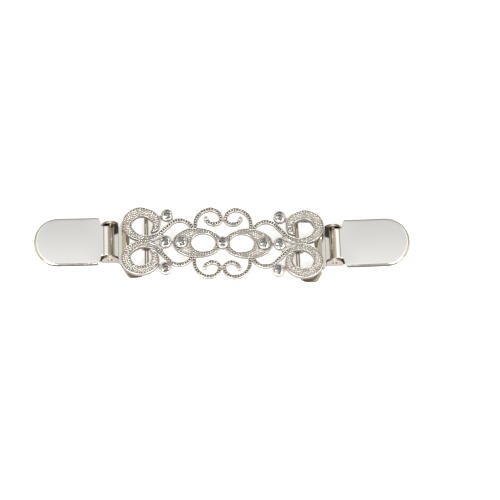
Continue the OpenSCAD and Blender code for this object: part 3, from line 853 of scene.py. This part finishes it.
for side, where in SIDES.items():
    sheet = shell(*lever_sheet())
    combined(sheet, [cheek(1), cheek(-1), hinge_pin(1), hinge_pin(-1)])
    combined(sheet, tooth_gaps(), "DIFFERENCE")
    placed(sheet, where)
    finished(sheet, f"{side}_cover", cover_nickel, f"{side}_lever", smooth=38)
    sheet.data.materials.append(sheared_and_shaded_nickel)
    # Dull, and darker as painted shade, on the cover's turned-down sides and round the pins
    back_to_plan = where.inverted()
    for face in sheet.data.polygons:
        u, v, z = back_to_plan @ (face.center / MM)
        turned_down = abs(face.normal.y) > 0.9 and z < COVER_Z - 0.45 and u > SHOULDER_U
        pin_flank = abs(v) > NECK + 0.45 and math.hypot(u - PIVOT_U, z - PIVOT_Z) < 1.2 and abs(face.normal.x) > 0.3
        if turned_down or pin_flank:
            face.material_index = SHEARED_AND_SHADED
    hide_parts(f"{side}_lever")


# ---- Clip bodies: the stamped frames with the sheet's edges broken ----

def softened(node, width):
    """The CAD piece with its flat faces merged again and its sharp edges rounded, width in millimetres."""
    thing = new_object(node + "_soft", nodes[node].data.copy())
    made = bmesh.new()
    made.from_mesh(thing.data)
    bmesh.ops.remove_doubles(made, verts=made.verts, dist=0.001 * MM)
    bmesh.ops.dissolve_limit(made, angle_limit=math.radians(0.5), verts=made.verts, edges=made.edges)
    made.to_mesh(thing.data)
    made.free()
    return rounded(thing, width, angle=35)


# Least area of a broad face of a stamping, and how nearly a smaller face has to look its way to be shaded as flat
BROAD, SAME_WAY = 3 * MM ** 2, 0.9999


def flat_faced(thing):
    """Shades the broad faces of a stamping flat, and leaves the rounding of its edges soft."""
    broad = [face.normal.copy() for face in thing.data.polygons if face.area > BROAD]
    for face in thing.data.polygons:
        if any(face.normal.dot(normal) > SAME_WAY for normal in broad):
            face.use_smooth = False


for side, where in SIDES.items():
    stamping = softened(f"{side}_clip", 0.12)
    finished(stamping, f"{side}_stamping", strip_nickel, f"{side}_clip", smooth=35)
    stamping.data.materials.append(sheared_and_shaded_nickel)
    # Dull, and darker as painted shade, on all that stands upright, but for the flat sides of the ears
    back_to_plan = where.inverted()
    for face in stamping.data.polygons:
        u, v, _ = back_to_plan @ (face.center / MM)
        on_ear = abs(v) > NECK and abs(u - PIVOT_U) < 4 and abs(face.normal.y) > 0.9
        if abs(face.normal.z) < 0.9 and not on_ear:
            face.material_index = SHEARED_AND_SHADED
    flat_faced(stamping)
    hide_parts(f"{side}_clip")


# ---- Floor, light and surroundings ----

# The table top, 6 m square, so that none of its edges shows
floor_mesh = bpy.data.meshes.new("floor")
floor_mesh.from_pydata([(-3, -3, 0), (3, -3, 0), (3, 3, 0), (-3, 3, 0)], [], [(0, 1, 2, 3)])
floor = new_object("floor", floor_mesh)
# A matt, pale and even ground, lit from below as well, so that shadows stay faint
table = bpy.data.materials.new("lit_opal_acrylic_table")
table.use_nodes = True
opal = table.node_tree.nodes["Principled BSDF"].inputs
opal["Base Color"].default_value = linear("#F4F4F4")
opal["Roughness"].default_value = 0.9
opal["Emission Color"].default_value = linear("#FFFFFF")
opal["Emission Strength"].default_value = 0.62
floor_mesh.materials.append(table)

world = bpy.data.worlds.new("studio")
bpy.context.scene.world = world
world.use_nodes = True
sky = world.node_tree
sky.nodes.clear()
direction = add(sky, "ShaderNodeSeparateXYZ", {0: add(sky, "ShaderNodeTexCoord").outputs["Generated"]})
# Darker towards the back, where the studio is unlit, and a dim horizon all round
back_wall = add(sky, "ShaderNodeValToRGB", {0: add(sky, "ShaderNodeMapRange", {
    "Value": direction.outputs["Y"], "From Min": -1.0, "From Max": 1.0}).outputs["Result"]})
stops = back_wall.color_ramp.elements
stops[0].position, stops[0].color = 0.0, linear("#FFFFFF")
stops[1].position, stops[1].color = 1.0, linear("#8A8784")
for position, colour in ((0.5, "#FFFFFF"), (0.62, "#F4F4F2"), (0.68, "#E4E4E2"), (0.8, "#CFCDCC")):
    stops.new(position).color = linear(colour)
horizon = add(sky, "ShaderNodeValToRGB", {0: direction.outputs["Z"]})
stops = horizon.color_ramp.elements
stops[0].position, stops[0].color = 0.0, linear("#4A4640")
stops[1].position, stops[1].color = 1.0, linear("#FFFFFF")
for position, colour in ((0.35, "#78726A"), (0.6, "#B9B5AE"), (0.75, "#FFFFFF")):
    stops.new(position).color = linear(colour)
room = add(sky, "ShaderNodeMix", {"Factor": 1.0, 6: back_wall.outputs["Color"], 7: horizon.outputs["Color"]},
           data_type="RGBA", blend_type="MULTIPLY")
# To the left and right of the middle comes an unlit strip, and then the two long side boxes
aside = add(sky, "ShaderNodeMath", {0: direction.outputs["X"]}, operation="ABSOLUTE")
strips = add(sky, "ShaderNodeValToRGB", {0: aside.outputs[0]})
stops = strips.color_ramp.elements
stops[0].position, stops[0].color = 0.18, (0.76, 0.76, 0.76, 1)
stops[1].position, stops[1].color = 1.0, (2.4, 2.2, 1.9, 1)
for position, colour in ((0.225, (1.1, 1.1, 1.1, 1)), (0.28, (1.1, 1.1, 1.1, 1)), (0.33, (0.5, 0.46, 0.39, 1)),
                         (0.62, (0.5, 0.46, 0.39, 1)), (0.8, (1.35, 1.24, 1.06, 1)), (0.94, (2.3, 2.1, 1.8, 1))):
    stops.new(position).color = colour
# The camera on its stand overhead is a dark spot that fades out from 10 to 16 degrees. It shows in each stone's middle
rig = add(sky, "ShaderNodeVectorMath", {0: add(sky, "ShaderNodeTexCoord").outputs["Generated"], 1: back},
          operation="DOT_PRODUCT")
spot = add(sky, "ShaderNodeMapRange", {"Value": rig.outputs["Value"], "From Min": math.cos(math.radians(16)),
                                       "From Max": math.cos(math.radians(10)), "To Min": 1.3, "To Max": 0.1})
seen = add(sky, "ShaderNodeMix", {"Factor": 1.0, 6: room.outputs[2], 7: strips.outputs["Color"]},
           data_type="RGBA", blend_type="MULTIPLY")
background = add(sky, "ShaderNodeBackground", {"Color": seen.outputs[2], "Strength": spot.outputs["Result"]})
add(sky, "ShaderNodeOutputWorld", {"Surface": background.outputs[0]})


def softbox(name, place, size, watts):
    """A soft lamp, aimed at the middle of the bridge."""
    lamp = bpy.data.lights.new(name, "AREA")
    lamp.shape = "RECTANGLE"
    lamp.size, lamp.size_y = size
    lamp.energy = watts
    thing = new_object(name, lamp)
    thing.location = place
    thing.rotation_euler = (-Vector(place)).to_track_quat("-Z", "Y").to_euler()


softbox("key_softbox", (-0.5, -0.78, 0.86), (0.7, 0.5), watts=8)
softbox("fill_softbox", (0.6, -0.5, 0.95), (0.6, 0.5), watts=7)
bpy.context.scene.view_settings.view_transform = "Standard"
